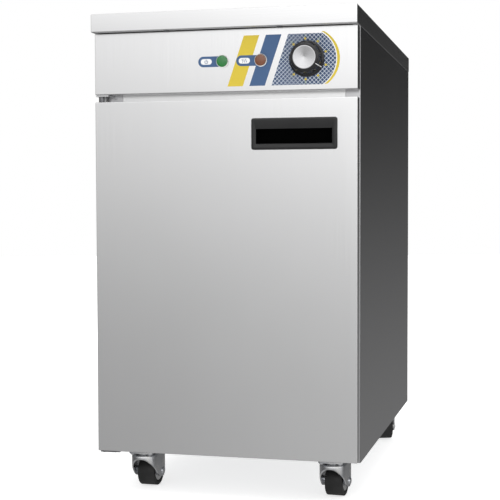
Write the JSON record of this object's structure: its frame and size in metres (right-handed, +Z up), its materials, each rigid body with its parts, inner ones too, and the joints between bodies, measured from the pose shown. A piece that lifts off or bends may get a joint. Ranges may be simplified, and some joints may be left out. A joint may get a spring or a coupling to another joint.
{
  "type": "heated uv sterilizer cabinet",
  "caption": "Free-standing stainless steel sterilizing cabinet on swivel casters, with a hinged door, wire shelves, a thermostat dial and lamps on a front panel.",
  "frame": {"origin": "on the floor, in the middle of the footprint", "axes": "+Z up, the door and the controls face -Y, +X is the door's handle side"},
  "size_m": [0.45, 0.6184, 0.802],
  "materials": {
    "stainless_front": "vertical brushed stainless",
    "stainless_side": "satin stainless in shade",
    "stainless_liner": "fine brushed",
    "galvanised": "spangled zinc",
    "panel_white": "smooth white enamel",
    "zinc_plate": "bright zinc plate",
    "black_plastic": "moulded, fine grain",
    "white_plastic": "moulded",
    "spun_aluminium": "circular spun",
    "green_lens": "clear tinted lens",
    "amber_lens": "clear tinted lens",
    "wheel_rubber": "smooth moulded",
    "gasket_rubber": "matte",
    "glass_wool": "fibrous",
    "quartz_glass": "clear",
    "ferrite": "sintered magnet"
  },
  "bodies": {
    "cabinet": {"worktop": "stainless_front", "left_side_panel": "stainless_side", "right_side_panel": "stainless_side", "back_panel": "stainless_side", "base_panel": "galvanised", "front_frame": "stainless_front", "liner_walls": "stainless_liner", "liner_ceiling": "stainless_liner", "liner_floor": "stainless_liner", "insulation": "glass_wool", "control_panel": "stainless_front", "power_lamp_housing": "black_plastic", "power_lamp_lens": "green_lens", "heat_lamp_housing": "black_plastic", "heat_lamp_lens": "amber_lens", "thermostat_body": "white_plastic", "heating_element": "stainless_side", "heater_guard": "stainless_liner", "uv_tube": "quartz_glass", "lamp_holder_left": "white_plastic", "lamp_holder_right": "white_plastic", "lamp_reflector": "spun_aluminium", "uv_ballast": "panel_white", "shelf_rack_left": "stainless_liner", "shelf_rack_right": "stainless_liner", "catch_magnet": "black_plastic", "door_switch": "white_plastic", "hinge_bracket_top": "stainless_side", "hinge_bracket_bottom": "stainless_side", "cable_gland": "black_plastic", "caster_front_left_plate": "zinc_plate", "caster_front_right_plate": "zinc_plate", "caster_rear_left_plate": "zinc_plate", "caster_rear_right_plate": "zinc_plate"},
    "door": {"door_outer_skin": "stainless_front", "door_inner_skin": "stainless_liner", "door_insulation": "glass_wool", "door_gasket": "gasket_rubber", "handle_cup": "black_plastic", "catch_strike": "zinc_plate", "switch_magnet": "ferrite", "hinge_pin_top": "stainless_side", "hinge_pin_bottom": "stainless_side"},
    "knob": {"knob_body": "black_plastic", "knob_cap": "spun_aluminium", "thermostat_spindle": "zinc_plate"},
    "upper_rack": {"upper_shelf": "zinc_plate"},
    "lower_rack": {"lower_shelf": "zinc_plate"},
    "front_left_swivel": {"caster_front_left_fork": "zinc_plate", "caster_front_left_axle": "zinc_plate"},
    "front_left_roller": {"caster_front_left_wheel": "wheel_rubber"},
    "front_right_swivel": {"caster_front_right_fork": "zinc_plate", "caster_front_right_axle": "zinc_plate"},
    "front_right_roller": {"caster_front_right_wheel": "wheel_rubber"},
    "rear_left_swivel": {"caster_rear_left_fork": "zinc_plate", "caster_rear_left_axle": "zinc_plate"},
    "rear_left_roller": {"caster_rear_left_wheel": "wheel_rubber"},
    "rear_right_swivel": {"caster_rear_right_fork": "zinc_plate", "caster_rear_right_axle": "zinc_plate"},
    "rear_right_roller": {"caster_rear_right_wheel": "wheel_rubber"}
  },
  "joints": [
    {"name": "door_hinge", "type": "hinge", "parent": "cabinet", "child": "door", "pos_m": [-0.2135, -0.28285, 0.364], "axis": [0, 0, -1], "range_deg": [0, 110]},
    {"name": "knob_turn", "type": "hinge", "parent": "cabinet", "child": "knob", "pos_m": [0.141, -0.29, 0.7195], "axis": [0, -1, 0], "range_deg": [-105, 160]},
    {"name": "upper_shelf_slide", "type": "slide", "parent": "cabinet", "child": "upper_rack", "axis": [0, -1, 0], "range_m": [0, 0.045]},
    {"name": "lower_shelf_slide", "type": "slide", "parent": "cabinet", "child": "lower_rack", "axis": [0, -1, 0], "range_m": [0, 0.045]},
    {"name": "front_left_swivel_turn", "type": "hinge", "parent": "cabinet", "child": "front_left_swivel", "pos_m": [-0.155, -0.24885, 0.058], "axis": [0, 0, 1], "continuous": true},
    {"name": "front_left_wheel_spin", "type": "hinge", "parent": "front_left_swivel", "child": "front_left_roller", "pos_m": [-0.155, -0.22185, 0.025], "axis": [1, 0, 0], "continuous": true},
    {"name": "front_right_swivel_turn", "type": "hinge", "parent": "cabinet", "child": "front_right_swivel", "pos_m": [0.175, -0.24885, 0.058], "axis": [0, 0, 1], "continuous": true},
    {"name": "front_right_wheel_spin", "type": "hinge", "parent": "front_right_swivel", "child": "front_right_roller", "pos_m": [0.17641, -0.22189, 0.025], "axis": [0.9986, -0.0523, 0], "continuous": true},
    {"name": "rear_left_swivel_turn", "type": "hinge", "parent": "cabinet", "child": "rear_left_swivel", "pos_m": [-0.155, 0.24915, 0.058], "axis": [0, 0, 1], "continuous": true},
    {"name": "rear_left_wheel_spin", "type": "hinge", "parent": "rear_left_swivel", "child": "rear_left_roller", "pos_m": [-0.16061, 0.22274, 0.025], "axis": [-0.9781, 0.2079, 0], "continuous": true},
    {"name": "rear_right_swivel_turn", "type": "hinge", "parent": "cabinet", "child": "rear_right_swivel", "pos_m": [0.175, 0.24915, 0.058], "axis": [0, 0, 1], "continuous": true},
    {"name": "rear_right_wheel_spin", "type": "hinge", "parent": "rear_right_swivel", "child": "rear_right_roller", "pos_m": [0.18424, 0.22378, 0.025], "axis": [-0.9397, -0.342, 0], "continuous": true}
  ]
}
